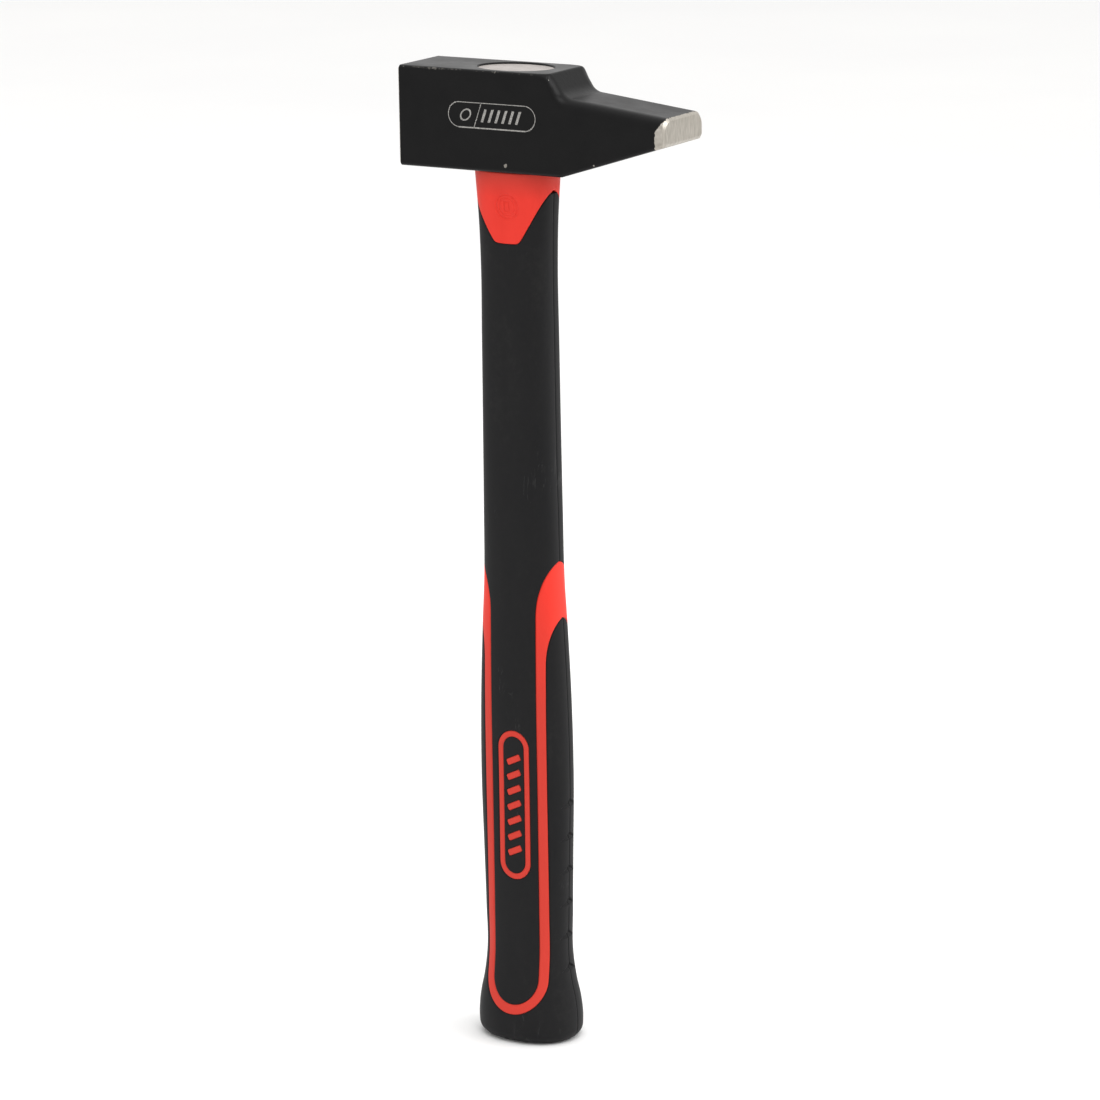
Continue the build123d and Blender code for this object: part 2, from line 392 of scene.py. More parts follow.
def surface_normals(surface, angle, path):
    """Outward normals of a surface of two parameters, from small steps along both."""
    turn = NORMAL_PROBE / USUAL_REACH
    across = surface(angle + turn, path) - surface(angle - turn, path)
    upward = surface(angle, path + NORMAL_PROBE) - surface(angle, path - NORMAL_PROBE)
    normal = np.cross(across, upward)
    return normal / (np.linalg.norm(normal, axis=-1, keepdims=True) + 1e-20)


def mesh_of(name, points, faces):
    """Mesh from points in millimetres."""
    mesh = bpy.data.meshes.new(name)
    mesh.from_pydata((points * METRES).tolist(), [], faces.tolist())
    return mesh


def in_scene(name, data):
    """Object with this data, linked to the scene."""
    thing = bpy.data.objects.new(name, data)
    bpy.context.scene.collection.objects.link(thing)
    return thing


def make_piece(name, points, faces, normals, shown, material):
    """Object whose shown faces get the exact normals of their surface; the others are inner
    walls and stay flat."""
    mesh = mesh_of(name, points, faces)
    mesh.polygons.foreach_set("use_smooth", shown)
    corners = np.where(np.repeat(shown, 3)[:, None], normals[faces.ravel()], 0.0)
    mesh.normals_split_custom_set(corners.tolist())
    mesh.materials.append(material)
    mesh.update()
    return in_scene(name, mesh)


TYPICAL_SECTION = (15.0, 9.0, 2.5)    # half width, half depth, squareness


def around(spacing):
    """Angles round the handle with the given spacing, a function of the place (x, y) on a
    typical section: equal steps of the integral of 1 / spacing over a quarter, mirrored."""
    dense = np.linspace(0, math.pi / 2, 4001)
    x, y = section_point(dense, *TYPICAL_SECTION)
    run = np.hypot(np.diff(x), np.diff(y))
    middle = spacing((x[1:] + x[:-1]) / 2, (y[1:] + y[:-1]) / 2)
    total = np.concatenate([[0], np.cumsum(run / middle)])
    quarter = np.interp(np.linspace(0, total[-1], math.ceil(total[-1]) + 1), total, dense)
    half = np.concatenate([quarter, math.pi - quarter[-2::-1]])
    return np.concatenate([half, math.pi + half[1:]])


def rows(*spans):
    """Path values from spans of (start, end, step)."""
    parts = [np.linspace(a, b, max(1, math.ceil((b - a) / step)) + 1)[:-1]
             for a, b, step in spans]
    return np.concatenate(parts + [[spans[-1][1]]])


def round_lip(distance, depth, width):
    """Lift that falls from 0 to -depth over the last bit before an edge, in a curve."""
    return -depth * np.clip(1 - distance / width, 0, 1) ** 2


def groove(distance, depth, width):
    """Lift of a soft groove along the line where the distance is 0."""
    return -depth * np.exp(-(distance / width) ** 2)


JACKET_EDGE = (0.0, 0.12, 0.35)       # the edge itself, then rows of points along its lip
JACKET_LIP = 0.30
SHOULDER_PATH = HEAD_BOTTOM + 1.0
TENON_PATH = SHOULDER_PATH + TENON_TOP - HEAD_BOTTOM


def jacket_distance(angle, path):
    """Real distance into the visible part of the jacket."""
    return on_surface(jacket_region, angle, path)


def jacket_outside(angle, path):
    """Visible jacket: flush with the skin, dipping at its edges, with two plain rings and an
    upright block pressed into the collar; above it a flat shoulder and the end in the eye."""
    distance = jacket_distance(angle, np.minimum(path, HEAD_BOTTOM))
    flat = handle_outside(angle, np.minimum(path, HEAD_BOTTOM), 0.0)
    off = flat[..., 0] + EMBLEM_SHIFT * np.sign(flat[..., 1])
    above = path - EMBLEM_HEIGHT
    block = np.maximum(np.abs(off) * EMBLEM_SLENDER, np.abs(above))
    lift = groove(block - EMBLEM_BLOCK[0], *EMBLEM_BLOCK[1:])
    for radius, depth, width in EMBLEM_RINGS:
        lift = lift + groove(np.hypot(off, above) - radius, depth, width)
    lift = lift + round_lip(distance, JACKET_LIP, JACKET_EDGE[2])
    body = handle_outside(angle, np.minimum(path, HEAD_BOTTOM), lift)
    share = np.clip(path - HEAD_BOTTOM, 0, 1)[..., None]
    up = np.clip(path, SHOULDER_PATH, TENON_PATH) - SHOULDER_PATH
    close = np.clip(TENON_PATH + 1 - path, 0, 1) + TINY
    x, y = section_point(angle, TENON[0] * close, TENON[1] * close, ELLIPSE)
    inside_eye = np.stack([x, y, HEAD_BOTTOM + up], -1)
    return body * (1 - share) + inside_eye * share


red_plastic = bpy.data.materials.new("red_polypropylene")
place, add, coat = shader_of(red_plastic)
flow = add("ShaderNodeMapping", Vector=place, Scale=(60, 60, 9))
cloud = add("ShaderNodeTexNoise", Vector=flow.outputs[0], Scale=1.0, Detail=4.0, Roughness=0.55)
shade = add("ShaderNodeValToRGB", Fac=cloud.outputs["Fac"])
colour_steps(shade, [(0.3, (0.70, 0.044, 0.028)), (0.75, (0.80, 0.062, 0.042))])
# Darker on the lower handle, fading out between 0.115 and 0.155 m up; and painted shade close under
# the head, where the head shades the collar.
axes = add("ShaderNodeSeparateXYZ", Vector=place)
darker_low = add("ShaderNodeMapRange", Value=axes.outputs["Z"], From_Min=0.115, From_Max=0.155,
           To_Min=0.85, To_Max=0.0)
# Painted shade: the red darkens towards the underside of the head, where the head shades the
# collar.
painted_shade_under_head = add("ShaderNodeMapRange", Value=axes.outputs["Z"], From_Min=0.284, From_Max=0.2925)
darker_low_and_painted_shade = add("ShaderNodeMath", {"operation": "MAXIMUM"}, i0=darker_low.outputs[0],
            i1=painted_shade_under_head.outputs[0])
# The darker red is both the lower handle's darkening and the painted shade under the head.
darkened_red = add("ShaderNodeMix", {"data_type": "RGBA"}, i0=darker_low_and_painted_shade.outputs[0], i6=shade.outputs[0],
            i7=(0.56, 0.058, 0.040, 1))
grain = add("ShaderNodeTexNoise", Vector=place, Scale=2600.0, Detail=2.0)
gloss = add("ShaderNodeMapRange", Value=cloud.outputs["Fac"], From_Min=0.3, From_Max=0.7,
            To_Min=0.42, To_Max=0.52)
relief = add("ShaderNodeBump", Strength=0.25, Distance=0.00003, Height=grain.outputs["Fac"])
coat(Base_Color=darkened_red.outputs[2], Roughness=gloss.outputs[0], Normal=relief.outputs[0],
     Specular_IOR_Level=0.25)

# The grid is close where the badge and the emblem are.
columns = around(lambda x, y: np.where(x < 5.1, 0.23, np.where(x < 7.2, 0.35, 0.8)))
heights = rows((-1, 0, 0.25), (0, BUTT_RADIUS, 1.0), (BUTT_RADIUS, 54, 1.5), (54, 109, 0.55),
               (109, 265, 1.8), (265, 276.5, 0.7), (276.5, 286, 0.2), (286, HEAD_BOTTOM, 0.8),
               (HEAD_BOTTOM, SHOULDER_PATH, 0.5), (SHOULDER_PATH, TENON_PATH, 3.0),
               (TENON_PATH, TENON_PATH + 1, 0.25))
spots, faces = grid(columns, heights)
for level in JACKET_EDGE:
    spots, faces = split_at(spots, faces, jacket_distance, level)
angle, path = spots.T
bare = jacket_distance(angle, path)[faces].mean(1) > 0
raised = jacket_outside(angle, path)
sunk = handle_inside(angle, np.minimum(path, HEAD_BOTTOM))
exact = surface_normals(jacket_outside, angle, path)
count = len(spots)
hidden = faces[~bare] + count
_, trimmed, first, _ = weld(raised, faces[bare])
walls = wall_between(first[rim_edges(trimmed)], count)
faces = np.concatenate([faces[bare], hidden, walls])
shown = np.arange(len(faces)) < bare.sum()
points, faces, kept, whole = weld(np.concatenate([raised, sunk]), faces)
exact = np.concatenate([exact, exact])[kept]
jacket = make_piece("handle_jacket_red", points, faces, exact, shown[whole], red_plastic)
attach(jacket, "root")
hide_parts("handle_jacket")


# ---- Shaft sleeve -----------------------------------------------------------------------
# Soft black thermoplastic rubber moulded over the jacket: a tube from the collar down to the
# stripes, and from there a panel front and back that ends in a round tongue near the butt.
SKIN_EDGE = (FIT_GAP, 0.14, 0.40)
SKIN_LIP = 0.34
PARTING_WIDTH = 0.20
PARTING_DEPTH = 0.20


def moulded_skin(name, columns, heights, region, surface, material):
    """Closed piece of soft skin: the part of the grid where the region is positive, lifted to
    its outer surface, the same part on the shared inner face, and a wall between the two."""
    def distance(angle, path):
        return on_surface(region, angle, path)

    spots, faces = grid(columns, heights)
    for level in SKIN_EDGE:
        spots, faces = split_at(spots, faces, distance, level)
    angle, path = spots.T
    faces = faces[distance(angle, path)[faces].mean(1) > SKIN_EDGE[0]]
    outer, faces, first, _ = weld(surface(angle, path), faces)
    angle, path = angle[first], path[first]
    inner = handle_inside(angle, path)
    exact = surface_normals(surface, angle, path)
    count = len(outer)
    wall = wall_between(rim_edges(faces), count)
    shown = np.arange(2 * len(faces) + len(wall)) < len(faces)
    faces = np.concatenate([faces, faces[:, ::-1] + count, wall])
    points, faces, kept, whole = weld(np.concatenate([outer, inner]), faces)
    exact = np.concatenate([exact, exact])[kept]
    return make_piece(name, points, faces, exact, shown[whole], material)


def parting_line(angle, path):
    """Groove left by the two halves of the mould along the narrow edges."""
    return groove(handle_outside(angle, path, 0.0)[..., 1], PARTING_DEPTH, PARTING_WIDTH)


def soft_edge(region, angle, path):
    """Dip of the soft skin along the edges of its region."""
    distance = on_surface(region, angle, path) - SKIN_EDGE[0]
    return round_lip(distance, SKIN_LIP, SKIN_EDGE[2])


def sleeve_surface(angle, path):
    """Outer surface of the shaft sleeve."""
    lift = soft_edge(sleeve_region, angle, path) + parting_line(angle, path)
    return handle_outside(angle, path, lift)


soft_rubber = bpy.data.materials.new("black_soft_rubber")
place, add, coat = shader_of(soft_rubber)
smear = add("ShaderNodeMapping", Vector=place, Scale=(70, 70, 22))
cloud = add("ShaderNodeTexNoise", Vector=smear.outputs[0], Scale=1.0, Detail=5.0, Roughness=0.6)
dust = add("ShaderNodeTexNoise", Vector=place, Scale=420.0, Detail=3.0, Roughness=0.7)
handled = add("ShaderNodeMix", {"data_type": "FLOAT"}, i0=0.35, i2=cloud.outputs["Fac"],
              i3=dust.outputs["Fac"])
shade = add("ShaderNodeValToRGB", Fac=handled.outputs[0])
colour_steps(shade, [(0.30, (0.0105, 0.0105, 0.0115)), (0.56, (0.0150, 0.0148, 0.0156)),
                     (0.80, (0.026, 0.0255, 0.025))])
streaks = add("ShaderNodeMapping", Vector=place, Scale=(520, 520, 110))
scratches = add("ShaderNodeTexNoise", Vector=streaks.outputs[0], Scale=1.0, Detail=5.0,
                Roughness=0.75, Distortion=1.2)
patches = add("ShaderNodeTexNoise", Vector=place, Scale=45.0, Detail=2.0)
rare = add("ShaderNodeMath", {"operation": "MULTIPLY"}, i0=scratches.outputs["Fac"],
           i1=patches.outputs["Fac"])
scuffed = add("ShaderNodeMapRange", Value=rare.outputs[0], From_Min=0.375, From_Max=0.46,
              To_Max=0.7)
worn_shade = add("ShaderNodeMix", {"data_type": "RGBA"}, i0=scuffed.outputs[0],
                 i6=shade.outputs[0], i7=(0.060, 0.060, 0.060, 1))
matt = add("ShaderNodeMapRange", Value=handled.outputs[0], From_Min=0.3, From_Max=0.75,
           To_Min=0.50, To_Max=0.66)
grain = add("ShaderNodeTexNoise", Vector=place, Scale=3600.0, Detail=2.0)
pits = add("ShaderNodeTexVoronoi", Vector=place, Scale=1500.0)
height = add("ShaderNodeMix", {"data_type": "FLOAT"}, i0=0.4, i2=grain.outputs["Fac"],
             i3=pits.outputs["Distance"])
relief = add("ShaderNodeBump", Strength=0.35, Distance=0.00005, Height=height.outputs[0])
coat(Base_Color=worn_shade.outputs[2], Roughness=matt.outputs[0], Normal=relief.outputs[0],
     Specular_IOR_Level=0.20, Sheen_Weight=0.05, Sheen_Roughness=0.5)

# The grid is close along the parting line.
columns = around(lambda x, y: np.where(y < 0.42, 0.085, 0.60))
heights = rows((13, 54, 0.8), (54, 109, 0.7), (109, 265, 1.1), (265, 285, 0.7))
sleeve = moulded_skin("shaft_sleeve_rubber", columns, heights, sleeve_region, sleeve_surface,
                      soft_rubber)
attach(sleeve, "root")
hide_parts("shaft_sleeve")


# ---- Lower grip -------------------------------------------------------------------------
# The same soft rubber round the butt and up the two narrow edges, so that the fingers grip
# it. Each edge has a row of notches: a peaked step that runs out into the surface below it.
CHEVRON_COUNT = 6
CHEVRON_FIRST = 26.8
CHEVRON_PITCH = 11.4
CHEVRON_HALF = 4.5
CHEVRON_DROP = 2.7
CHEVRON_DEPTH = 1.0
CHEVRON_STEP = 0.34       # width of the step under the peaked line
CHEVRON_STEEP = 0.8       # turns a height under the sloping line into a distance from it
CHEVRON_FADE = 0.45       # power by which the depth fades towards the foot
CHEVRON_BIAS = 0.12       # of a pitch, by which the surface below a peak belongs more to it


def chevron_notches(angle, path):
    """Depth below the surface: nothing above each peaked line, most just under its peak, and
    back to nothing along a level line at the foot of the peak."""
    y = np.abs(handle_outside(angle, path, 0.0)[..., 1])
    index = np.round((path - CHEVRON_FIRST) / CHEVRON_PITCH + CHEVRON_BIAS)
    index = np.clip(index, 0, CHEVRON_COUNT - 1)
    over_foot = path - (CHEVRON_FIRST + index * CHEVRON_PITCH - CHEVRON_DROP)
    under_line = (CHEVRON_DROP * (1 - y / CHEVRON_HALF) - over_foot) * CHEVRON_STEEP
    ramp = np.clip(over_foot / CHEVRON_DROP, 0, 1)
    step = np.clip(under_line / CHEVRON_STEP, 0, 1)
    return -CHEVRON_DEPTH * ramp ** CHEVRON_FADE * step * step * (3 - 2 * step)


def lower_grip_surface(angle, path):
    """Outer surface of the lower grip, with its notches."""
    lift = soft_edge(lower_grip_region, angle, path) + parting_line(angle, path)
    return handle_outside(angle, path, lift + chevron_notches(angle, path))


columns = around(lambda x, y: np.where(y < 0.42, 0.085, np.where(y < 4.6, 0.24, 0.62)))
notch_rows = []
for index in range(CHEVRON_COUNT):
    foot = CHEVRON_FIRST + index * CHEVRON_PITCH - CHEVRON_DROP
    over_peak = foot + CHEVRON_DROP + 0.4
    notch_rows += [(foot - 0.2, over_peak, 0.16), (over_peak, foot + CHEVRON_PITCH - 0.2, 0.9)]
heights = rows((-1, 0, 0.1), (0, BUTT_RADIUS, 0.35), (BUTT_RADIUS, notch_rows[0][0], 0.7),
               *notch_rows, (notch_rows[-1][1], 146, 0.8))
lower_grip = moulded_skin("lower_grip_rubber", columns, heights, lower_grip_region,
                          lower_grip_surface, soft_rubber)
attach(lower_grip, "root")
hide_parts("lower_grip")


# ---- Badge infills ----------------------------------------------------------------------
# Two thin islands of the soft rubber, front and back, that fill the stadium-shaped ring of
# the jacket round its plain slanted bars.
INFILL_LIP = 0.7          # share of the lip's depth that these small pieces have
INFILL_REACH = 0.52       # radians to each side of the middle


def infill_surface(angle, path):
    """Outer surface of an island in the badge."""
    return handle_outside(angle, path, soft_edge(infill_region, angle, path) * INFILL_LIP)


for node, centre in (("front_badge_infill", 1.5 * math.pi), ("back_badge_infill", math.pi / 2)):
    columns = np.linspace(centre - INFILL_REACH, centre + INFILL_REACH, 37)
    heights = rows((BADGE_CENTRE - BADGE_LENGTH / 2, BADGE_CENTRE + BADGE_LENGTH / 2, 0.35))
    infill = moulded_skin(node + "_rubber", columns, heights, infill_region, infill_surface,
                          soft_rubber)
    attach(infill, "root")
    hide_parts(node)


# ---- Hammer head ------------------------------------------------------------------------
# Drop-forged steel with a square striking face and a cross peen, painted satin black. The
# face and the peen's tip are ground bare after painting. The oval eye narrows to a waist.
HEAD_TOP = 325.0
HEAD_HALF = 12.5
FACE_X = -37.0
TIP_X = 61.0
FACE_CHAMFER = 0.5
TIP_CHAMFER = 0.8
TOP_ROUND = [(13.5, 1.2), (16.5, 1.8), (20.0, 4.0)]   # small on the block, large on the peen
LOW_ROUND = 1.2
HOLLOW = 0.0008           # the forged sides are out of flat by this share of the half width
UPPER_LINE = [(-40.0, 325.0), (18.5, 325.0), (23.2, 317.6), (61.0, 313.2), (70.0, 312.16)]
UPPER_ROUND = [0.0, 0.8, 6.5, 0.0, 0.0]
LOWER_LINE = [(-40.0, 292.5), (23.2, 292.5), (61.0, 304.5), (70.0, 307.36)]
LOWER_ROUND = [0.0, 2.5, 0.0, 0.0]
WAIST = 308.75
EYE = [(HEAD_BOTTOM, 12.7, 9.2), (WAIST, 11.8, 8.5), (HEAD_TOP, 13.25, 9.75)]
EYE_BREAK = 0.3           # broken edge round both ends of the eye


def bent_line(x, corners, rounds):
    """Height at x of a line of straight pieces whose corners are rounded with arcs: near a
    corner the arc that touches both pieces takes their place."""
    xs, zs = np.array(corners).T
    height = np.interp(x, xs, zs)
    for index in range(1, len(corners) - 1):
        if rounds[index] == 0:
            continue
        before = math.atan2(zs[index] - zs[index - 1], xs[index] - xs[index - 1])
        after = math.atan2(zs[index + 1] - zs[index], xs[index + 1] - xs[index])
        reach = rounds[index] * abs(math.tan((after - before) / 2))
        side = math.copysign(1, after - before)
        start = xs[index] - reach * math.cos(before)
        end = xs[index] + reach * math.cos(after)
        middle_x = start - side * rounds[index] * math.sin(before)
        middle_z = (zs[index] - reach * math.sin(before)
                    + side * rounds[index] * math.cos(before))
        inside = (x > start) & (x < end)
        rise = np.sqrt(np.maximum(rounds[index] ** 2 - (x - middle_x) ** 2, 0))
        height = np.where(inside, middle_z - side * rise, height)
    return height


def head_surface(turn, path):
    """Outer surface of the head. Turn goes round the section: 0-1 under side, 1-2 lower back
    edge, 2-3 back, 3-4 upper back edge, 4-5 top, 5-6 upper front edge, 6-7 front, 7-8 lower
    front edge. The path is x between the ends and closes each end in one more millimetre."""
    x = np.clip(path, FACE_X, TIP_X)
    close = 1 - np.clip(np.maximum(FACE_X - path, path - TIP_X), 0, 1) + TINY
    cut = (np.clip(FACE_X + FACE_CHAMFER - x, 0, FACE_CHAMFER)
           + np.clip(x - TIP_X + TIP_CHAMFER, 0, TIP_CHAMFER))
    high = bent_line(x, UPPER_LINE, UPPER_ROUND) - cut
    low = bent_line(x, LOWER_LINE, LOWER_ROUND) + cut
    half = HEAD_HALF - cut
    top = np.interp(x, *np.array(TOP_ROUND).T) - 0.5 * cut
    under = LOW_ROUND - 0.4 * cut
    part, share = np.floor(turn % 8), turn % 8 - np.floor(turn % 8)
    arc = share * math.pi / 2
    parts = [part == number for number in range(7)]
    y = np.select(parts,
                  [-half + under + share * 2 * (half - under), half - under + under * np.sin(arc),
                   half, half - top + top * np.cos(arc),
                   half - top - share * 2 * (half - top), -half + top - top * np.sin(arc),
                   -half], -half + under - under * np.cos(arc))
    z = np.select(parts,
                  [low, low + under - under * np.cos(arc),
                   low + under + share * (high - top - low - under),
                   high - top + top * np.sin(arc), high, high - top + top * np.cos(arc),
                   high - top - share * (high - top - low - under)],
                  low + under - under * np.sin(arc))
    hollow = HOLLOW * (1 + np.sin(0.31 * x + 0.9) * np.sin(0.27 * z + 0.5 * y))
    y = y * (1 - hollow * (np.abs(y) > half - 0.01))
    centre = (high + low) / 2
    return np.stack([x, y * close, centre + (z - centre) * close], -1)


MARK_CENTRE = (-1.85, 310.5)
MARK_HALF = (16.15, 4.0)
MARK_LINE = 0.14          # half the width of the outline and the divider
MARK_LEAN = 0.36
MARK_DIVIDER = -5.2
MARK_RING = (-9.7, 1.75, 0.26)        # place, radius, half width of its line
MARK_BARS = 6
MARK_FIRST_BAR = -2.9
MARK_BAR_PITCH = 2.55
MARK_BAR_HALF = (0.48, 2.1)


def mark_distance(turn, path):
    """Positive on the etched mark of the front: the outline of a lying stadium, a line that
    divides it, a ring in its shorter part and plain slanted bars in its longer one."""
    spot = head_surface(turn, path)
    x = spot[..., 0] - MARK_CENTRE[0]
    z = spot[..., 2] - MARK_CENTRE[1]
    beyond = np.maximum(np.abs(x) - MARK_HALF[0] + MARK_HALF[1], 0)
    stadium = np.hypot(beyond, z) - MARK_HALF[1]
    outline = MARK_LINE - np.abs(stadium)
    leaning = x - MARK_LEAN * z
    divider = np.minimum(MARK_LINE - np.abs(leaning - MARK_DIVIDER), -stadium)
    bar = (leaning - MARK_FIRST_BAR) / MARK_BAR_PITCH
    near = np.abs(bar - np.clip(np.round(bar), 0, MARK_BARS - 1)) * MARK_BAR_PITCH
    bars = np.minimum(MARK_BAR_HALF[0] - near, MARK_BAR_HALF[1] - np.abs(z))
    ring_x, ring_radius, ring_line = MARK_RING
    ring = ring_line - np.abs(np.hypot(leaning - ring_x, z) - ring_radius)
    inside = np.maximum.reduce([outline, divider, bars, ring])
    return np.where((turn > 6) & (turn < 7), inside, -1.0)


black_paint = bpy.data.materials.new("black_paint_on_steel")
place, add, coat = shader_of(black_paint)
axes = add("ShaderNodeSeparateXYZ", Vector=place)
blotch = add("ShaderNodeTexNoise", Vector=place, Scale=90.0, Detail=5.0, Roughness=0.6)
ragged = add("ShaderNodeTexNoise", Vector=place, Scale=900.0, Detail=4.0, Roughness=0.65)
# Bare steel shows on the ground tip and face, on edges rubbed by use and in a few chips.
rough_edge = add("ShaderNodeMath", {"operation": "MULTIPLY_ADD"}, i0=ragged.outputs["Fac"],
                 i1=0.0012, i2=axes.outputs["X"])
near_top = add("ShaderNodeMapRange", Value=axes.outputs["Z"], From_Min=0.3090,
               From_Max=0.3128, To_Max=0.0026)
reach = add("ShaderNodeMath", {"operation": "SUBTRACT"}, i0=rough_edge.outputs[0],
            i1=near_top.outputs[0])
ground = add("ShaderNodeMapRange", Value=reach.outputs[0], From_Min=0.05810, From_Max=0.05825)
face_end = add("ShaderNodeMapRange", Value=rough_edge.outputs[0], From_Min=-0.03600,
               From_Max=-0.03610)
ground = add("ShaderNodeMath", {"operation": "MAXIMUM"}, i0=ground.outputs[0],
             i1=face_end.outputs[0])
edge = add("ShaderNodeAttribute", {"attribute_name": "edge"})
rubbed = add("ShaderNodeMath", {"operation": "MULTIPLY"}, i0=edge.outputs["Fac"],
             i1=ragged.outputs["Fac"])
rubbed = add("ShaderNodeMath", {"operation": "MULTIPLY"}, i0=rubbed.outputs[0],
             i1=blotch.outputs["Fac"])
worn = add("ShaderNodeMapRange", Value=rubbed.outputs[0], From_Min=0.22, From_Max=0.38, To_Max=0.55)
bare_steel = add("ShaderNodeMath", {"operation": "MAXIMUM"}, i0=ground.outputs[0],
                 i1=worn.outputs[0])
CHIPS = [
    # place and size in metres
    ((0.0030, -0.0125, 0.2950), 0.00070), ((-0.0005, -0.0120, 0.3245), 0.00028),
    ((-0.0157, -0.0125, 0.3200), 0.00006), ((0.0355, -0.0125, 0.2972), 0.00036),
    ((0.0190, -0.0117, 0.3233), 0.00030), ((-0.0290, -0.0121, 0.3246), 0.00016),
]
for chip, size in CHIPS:
    away = add("ShaderNodeVectorMath", {"operation": "DISTANCE"}, i0=place, i1=chip)
    broken = add("ShaderNodeMath", {"operation": "MULTIPLY_ADD"}, i0=ragged.outputs["Fac"],
                 i1=0.0011, i2=away.outputs["Value"])
    inside = add("ShaderNodeMapRange", Value=broken.outputs[0], From_Min=size + 0.0006,
                 From_Max=size + 0.00045, To_Max=0.6)
    bare_steel = add("ShaderNodeMath", {"operation": "MAXIMUM"}, i0=bare_steel.outputs[0],
                     i1=inside.outputs[0])
paint_shade = add("ShaderNodeValToRGB", Fac=blotch.outputs["Fac"])
colour_steps(paint_shade, [(0.3, (0.0022, 0.0022, 0.0026)), (0.8, (0.0052, 0.0050, 0.0052))])
lines = add("ShaderNodeMapping", Vector=place, Scale=(300, 4200, 300))
grinding = add("ShaderNodeTexNoise", Vector=lines.outputs[0], Scale=1.0, Detail=4.0)
steel_shade = add("ShaderNodeValToRGB", Fac=grinding.outputs["Fac"])
colour_steps(steel_shade, [(0.3, (0.38, 0.355, 0.315)), (0.7, (0.58, 0.55, 0.50))])
colour = add("ShaderNodeMix", {"data_type": "RGBA"}, i0=bare_steel.outputs[0],
             i6=paint_shade.outputs[0], i7=steel_shade.outputs[0])
satin = add("ShaderNodeMapRange", Value=blotch.outputs["Fac"], From_Min=0.3, From_Max=0.7,
            To_Min=0.30, To_Max=0.40)
gloss = add("ShaderNodeMix", {"data_type": "FLOAT"}, i0=bare_steel.outputs[0],
            i2=satin.outputs[0], i3=0.42)
peel = add("ShaderNodeTexNoise", Vector=place, Scale=700.0, Detail=2.0)
depth = add("ShaderNodeMix", {"data_type": "FLOAT"}, i0=bare_steel.outputs[0],
            i2=peel.outputs["Fac"], i3=grinding.outputs["Fac"])
relief = add("ShaderNodeBump", Strength=0.35, Distance=0.00010, Height=depth.outputs[0])
coat(Base_Color=colour.outputs[2], Metallic=bare_steel.outputs[0], Roughness=gloss.outputs[0],
     Normal=relief.outputs[0], Specular_IOR_Level=0.27)

etched_steel = bpy.data.materials.new("etched_mark")
place, add, coat = shader_of(etched_steel)
speckle = add("ShaderNodeTexNoise", Vector=place, Scale=3000.0, Detail=3.0, Roughness=0.7)
shade = add("ShaderNodeValToRGB", Fac=speckle.outputs["Fac"])
colour_steps(shade, [(0.3, (0.17, 0.165, 0.16)), (0.6, (0.44, 0.43, 0.41))])
relief = add("ShaderNodeBump", Strength=0.3, Distance=0.00003, Height=speckle.outputs["Fac"])
coat(Base_Color=shade.outputs[0], Metallic=0.35, Roughness=0.5, Normal=relief.outputs[0])

# The grid is close at the corners, at both ends and where the mark and the shoulder are.
corner = np.linspace(0, 1, 9)
flat = np.concatenate([[0, 0.012], np.linspace(0.05, 0.95, 25), [0.988]])
upright = np.concatenate([[0, 0.012], np.linspace(0.05, 0.95, 60), [0.988]])
turns = np.concatenate([flat, 1 + corner[:-1], 2 + flat, 3 + corner[:-1], 4 + flat,
                        5 + corner[:-1], 6 + upright, 7 + corner])
stretches = rows((FACE_X - 1, FACE_X - 0.02, 0.14), (FACE_X - 0.02, FACE_X, 0.02),
                 (FACE_X, FACE_X + 0.06, 0.03), (FACE_X + 0.06, FACE_X + 0.5, 0.2),
                 (FACE_X + 0.5, FACE_X + 1.0, 0.15), (FACE_X + 1.0, -19, 0.9), (-19, 15.5, 0.3),
                 (15.5, 29, 0.22), (29, 57, 0.9), (57, TIP_X - 0.9, 0.4),
                 (TIP_X - 0.9, TIP_X, 0.1), (TIP_X, TIP_X + 0.02, 0.02),
                 (TIP_X + 0.02, TIP_X + 1, 0.14))
spots, faces = grid(turns, stretches)
spots, faces = split_at(spots, faces, mark_distance, 0.0)
middle = spots[faces].mean(1)
marked = mark_distance(middle[:, 0], middle[:, 1]) > 0
points, faces, _, whole = weld(head_surface(*spots.T), faces)
mesh = mesh_of("hammer_head", points, faces)
mesh.materials.append(black_paint)
mesh.materials.append(etched_steel)
mesh.polygons.foreach_set("material_index", marked[whole].astype(np.int32))
mesh.update()
head = in_scene("hammer_head", mesh)


def eye_size(height):
    """Half length and half width of the eye at a height."""
    heights, half_length, half_width = np.array(EYE).T
    return np.interp(height, heights, half_length), np.interp(height, heights, half_width)


def eye_cutter(angle, path):
    """Solid that is cut from the head: the eye's two oval cones, wider at both ends where
    the edge is broken. The path is the height; each end closes in one more millimetre."""
    low, high = HEAD_BOTTOM - 1.0, HEAD_TOP + 1.0
    height = np.clip(path, low, high)
    close = 1 - np.clip(np.maximum(low - path, path - high), 0, 1) + TINY
    half_length, half_width = eye_size(height)
    broken = np.maximum(height - HEAD_TOP, HEAD_BOTTOM - height) + EYE_BREAK
    broken = np.clip(broken, 0, 1.0 + EYE_BREAK)
    x, y = section_point(angle, (half_length + broken) * close, (half_width + broken) * close,
                         ELLIPSE)
    return np.stack([x, y, height], -1)


